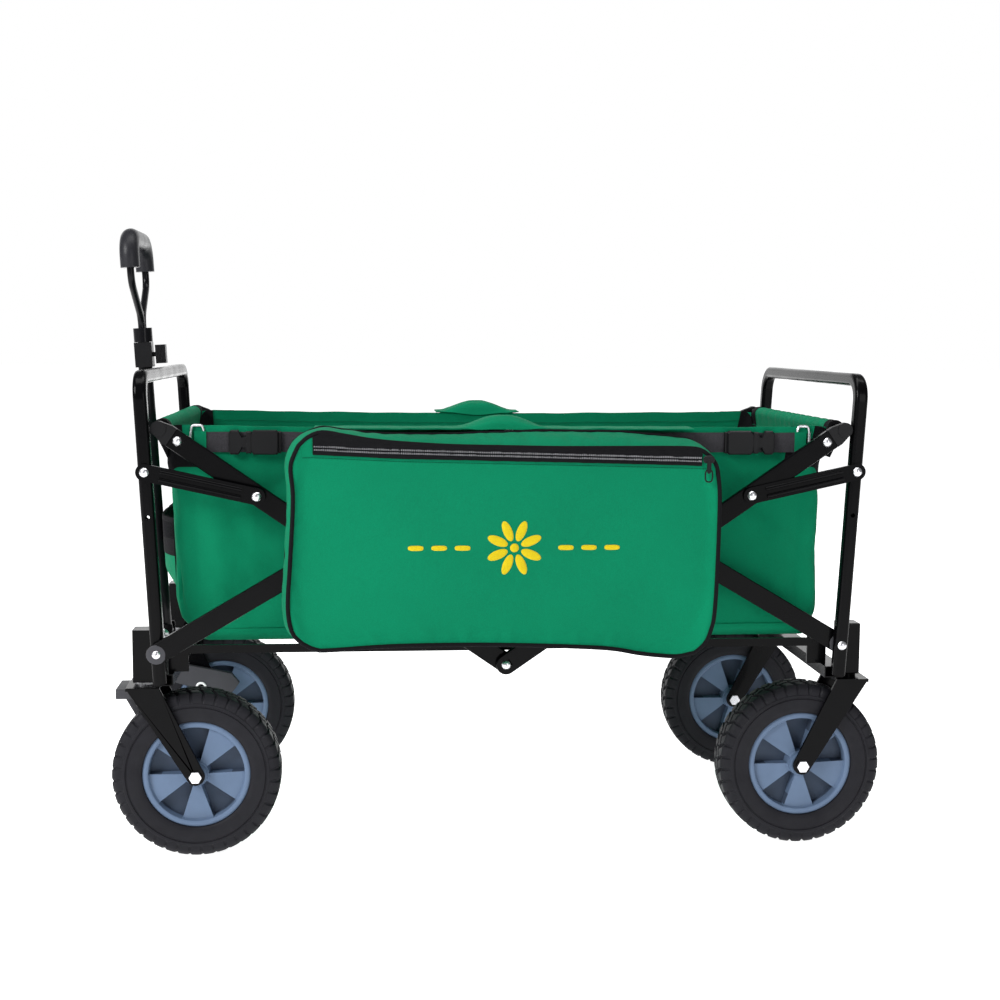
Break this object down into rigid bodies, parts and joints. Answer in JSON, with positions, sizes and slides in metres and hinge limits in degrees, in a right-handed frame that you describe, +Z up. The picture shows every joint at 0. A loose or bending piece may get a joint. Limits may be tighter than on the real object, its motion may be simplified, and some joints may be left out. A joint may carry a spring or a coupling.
{
  "type": "folding wagon",
  "caption": "Folding utility wagon: steel scissor frame, open green fabric tub, zipped side bag, four spoked wheels with braked swivel front wheels, and an upright telescoping pull handle.",
  "frame": {"origin": "on the floor, in the middle of the object's box", "axes": "+Z up, -X the front with the pull handle, -Y the near side with the bag"},
  "size_m": [0.9484, 0.527, 0.7631],
  "materials": {
    "steel_black": "gloss black powder coat",
    "rivet_steel": "bright zinc plated",
    "tyre_rubber": "matt black rubber",
    "hub_plastic": "blue grey moulded plastic",
    "black_plastic": "satin black moulded plastic",
    "grip_plastic": "dark grey grip",
    "fabric_green": "plain woven polyester, green",
    "webbing_black": "woven webbing",
    "tube_steel": "satin black tube"
  },
  "bodies": {
    "rear_frame": {"rear_hoop": "steel_black", "rear_base_bar": "steel_black", "rear_posts": "steel_black", "rear_frame_pins": "rivet_steel", "rear_near_fork": "steel_black", "rear_far_fork": "steel_black", "rear_near_axle": "rivet_steel", "rear_far_axle": "rivet_steel"},
    "rear_lower_arms": {"rear_lower_arms": "steel_black"},
    "rear_upper_arms": {"rear_upper_arms": "steel_black", "rear_corner_caps": "black_plastic", "rear_rim_bar": "steel_black", "rear_arm_rivets": "rivet_steel", "bottom_centre_screws": "rivet_steel"},
    "front_upper_arms": {"front_upper_arms": "steel_black", "front_corner_caps": "black_plastic", "front_rim_bar": "steel_black", "front_cap_rivets": "rivet_steel"},
    "front_lower_arms": {"front_lower_arms": "steel_black", "centre_rivets": "rivet_steel"},
    "front_frame": {"front_hoop": "steel_black", "front_base_bar": "steel_black", "front_posts": "steel_black", "front_frame_pins": "rivet_steel", "handle_bracket": "steel_black", "handle_pin": "rivet_steel", "handle_clip": "black_plastic"},
    "rear_links": {"rear_short_links": "steel_black"},
    "front_links": {"front_short_links": "steel_black"},
    "rear_rails": {"rear_floor_rails": "steel_black"},
    "front_rails": {"front_floor_rails": "steel_black"},
    "tub_fabric": {"tub": "fabric_green", "side_bag": "fabric_green", "bag_straps": "webbing_black", "rear_strap_hardware": "black_plastic"},
    "tub_front": {"front_pocket": "fabric_green", "front_strap_hardware": "black_plastic"},
    "zipper": {"zipper_slider": "black_plastic"},
    "caster_near": {"front_near_fork": "steel_black", "kingpin_near": "rivet_steel", "front_near_axle": "rivet_steel"},
    "caster_far": {"front_far_fork": "steel_black", "kingpin_far": "rivet_steel", "front_far_axle": "rivet_steel"},
    "front_wheel_near": {"front_near_tyre": "tyre_rubber", "front_near_hub": "hub_plastic"},
    "front_wheel_far": {"front_far_tyre": "tyre_rubber", "front_far_hub": "hub_plastic"},
    "rear_wheel_near": {"rear_near_tyre": "tyre_rubber", "rear_near_hub": "hub_plastic"},
    "rear_wheel_far": {"rear_far_tyre": "tyre_rubber", "rear_far_hub": "hub_plastic"},
    "brake_near": {"brake_lever_near": "black_plastic"},
    "brake_far": {"brake_lever_far": "black_plastic"},
    "pull_handle": {"handle_tube": "tube_steel", "handle_collar": "black_plastic"},
    "handle_slide": {"handle_inner_tube": "tube_steel", "handle_yoke": "tube_steel", "handle_grip": "grip_plastic"},
    "release_button": {"handle_button": "black_plastic"}
  },
  "joints": [
    {"name": "fold", "type": "hinge", "parent": "rear_frame", "child": "rear_lower_arms", "pos_m": [0.41309, 0.0262, 0.257], "axis": [0, 1, 0], "range_deg": [0, 39], "deforming": ["tub", "side_bag", "bag_straps"]},
    {"name": "rear_crossing", "type": "hinge", "parent": "rear_lower_arms", "child": "rear_upper_arms", "pos_m": [0.205, 0.0262, 0.38], "axis": [0, 1, 0], "range_deg": [-78.02, 0]},
    {"name": "bottom_centre", "type": "hinge", "parent": "rear_upper_arms", "child": "front_upper_arms", "pos_m": [0, 0.0262, 0.238], "axis": [0, 1, 0], "range_deg": [0, 78.02]},
    {"name": "front_crossing", "type": "hinge", "parent": "front_upper_arms", "child": "front_lower_arms", "pos_m": [-0.205, 0.0262, 0.38], "axis": [0, 1, 0], "range_deg": [-78.02, 0]},
    {"name": "front_leg_pivot", "type": "hinge", "parent": "front_lower_arms", "child": "front_frame", "pos_m": [-0.41309, 0.0262, 0.257], "axis": [0, 1, 0], "range_deg": [0, 39.02]},
    {"name": "rear_link_pivot", "type": "hinge", "parent": "rear_frame", "child": "rear_links", "pos_m": [0.42431, 0.0262, 0.471], "axis": [0, 1, 0], "range_deg": [0, 73.68]},
    {"name": "front_link_pivot", "type": "hinge", "parent": "front_frame", "child": "front_links", "pos_m": [-0.42431, 0.0262, 0.471], "axis": [0, 1, 0], "range_deg": [-73.68, 0]},
    {"name": "rear_rail_pivot", "type": "hinge", "parent": "rear_frame", "child": "rear_rails", "pos_m": [0.388, 0.0262, 0.256], "axis": [0, 1, 0], "range_deg": [0, 70.57]},
    {"name": "front_rail_pivot", "type": "hinge", "parent": "front_frame", "child": "front_rails", "pos_m": [-0.388, 0.0262, 0.256], "axis": [0, 1, 0], "range_deg": [-70.57, 0]},
    {"name": "tub_lift", "type": "slide", "parent": "rear_frame", "child": "tub_fabric", "axis": [0, 0, 1], "range_m": [0, 0.20087]},
    {"name": "tub_front_lift", "type": "slide", "parent": "front_frame", "child": "tub_front", "axis": [0, 0, 1], "range_m": [0, 0.20087]},
    {"name": "zipper_pull", "type": "slide", "parent": "tub_fabric", "child": "zipper", "axis": [-0.9997, 0, 0.0261], "range_m": [0, 0.456]},
    {"name": "caster_swivel_near", "type": "hinge", "parent": "front_frame", "child": "caster_near", "pos_m": [-0.434, -0.1508, 0.214], "axis": [0, 0, 1], "continuous": true},
    {"name": "front_wheel_spin_near", "type": "hinge", "parent": "caster_near", "child": "front_wheel_near", "pos_m": [-0.3726, -0.1508, 0.1016], "axis": [0, 1, 0], "continuous": true},
    {"name": "rear_wheel_spin_near", "type": "hinge", "parent": "rear_frame", "child": "rear_wheel_near", "pos_m": [0.3726, -0.1508, 0.1016], "axis": [0, 1, 0], "continuous": true},
    {"name": "brake_near", "type": "hinge", "parent": "caster_near", "child": "brake_near", "pos_m": [-0.401, -0.1508, 0.133], "axis": [0, -1, 0], "range_deg": [0, 10]},
    {"name": "caster_swivel_far", "type": "hinge", "parent": "front_frame", "child": "caster_far", "pos_m": [-0.434, 0.2032, 0.214], "axis": [0, 0, 1], "continuous": true},
    {"name": "front_wheel_spin_far", "type": "hinge", "parent": "caster_far", "child": "front_wheel_far", "pos_m": [-0.3726, 0.2032, 0.1016], "axis": [0, 1, 0], "continuous": true},
    {"name": "rear_wheel_spin_far", "type": "hinge", "parent": "rear_frame", "child": "rear_wheel_far", "pos_m": [0.3726, 0.2032, 0.1016], "axis": [0, 1, 0], "continuous": true},
    {"name": "brake_far", "type": "hinge", "parent": "caster_far", "child": "brake_far", "pos_m": [-0.401, 0.2032, 0.133], "axis": [0, -1, 0], "range_deg": [0, 10]},
    {"name": "handle_tilt", "type": "hinge", "parent": "front_frame", "child": "pull_handle", "pos_m": [-0.432, 0.0262, 0.24], "axis": [0, -1, 0], "range_deg": [0, 95]},
    {"name": "handle_extend", "type": "slide", "parent": "pull_handle", "child": "handle_slide", "axis": [-0.0576, 0, 0.9983], "range_m": [0, 0.25]},
    {"name": "button_press", "type": "slide", "parent": "pull_handle", "child": "release_button", "axis": [-0.9983, 0, -0.0576], "range_m": [0, 0.003], "stiffness_N_per_m": 800}
  ],
  "couplings": [
    {"joint": "rear_crossing", "follows": "fold", "ratio": -2},
    {"joint": "bottom_centre", "follows": "fold", "ratio": 2},
    {"joint": "front_crossing", "follows": "fold", "ratio": -2},
    {"joint": "front_leg_pivot", "follows": "fold", "ratio": 1},
    {"joint": "rear_link_pivot", "follows": "fold", "ratio": 1.8887},
    {"joint": "front_link_pivot", "follows": "fold", "ratio": -1.8887},
    {"joint": "rear_rail_pivot", "follows": "fold", "ratio": 1.8091},
    {"joint": "front_rail_pivot", "follows": "fold", "ratio": -1.8091},
    {"joint": "tub_lift", "follows": "fold", "m_per_rad": 0.29437},
    {"joint": "tub_front_lift", "follows": "fold", "m_per_rad": 0.29437}
  ]
}
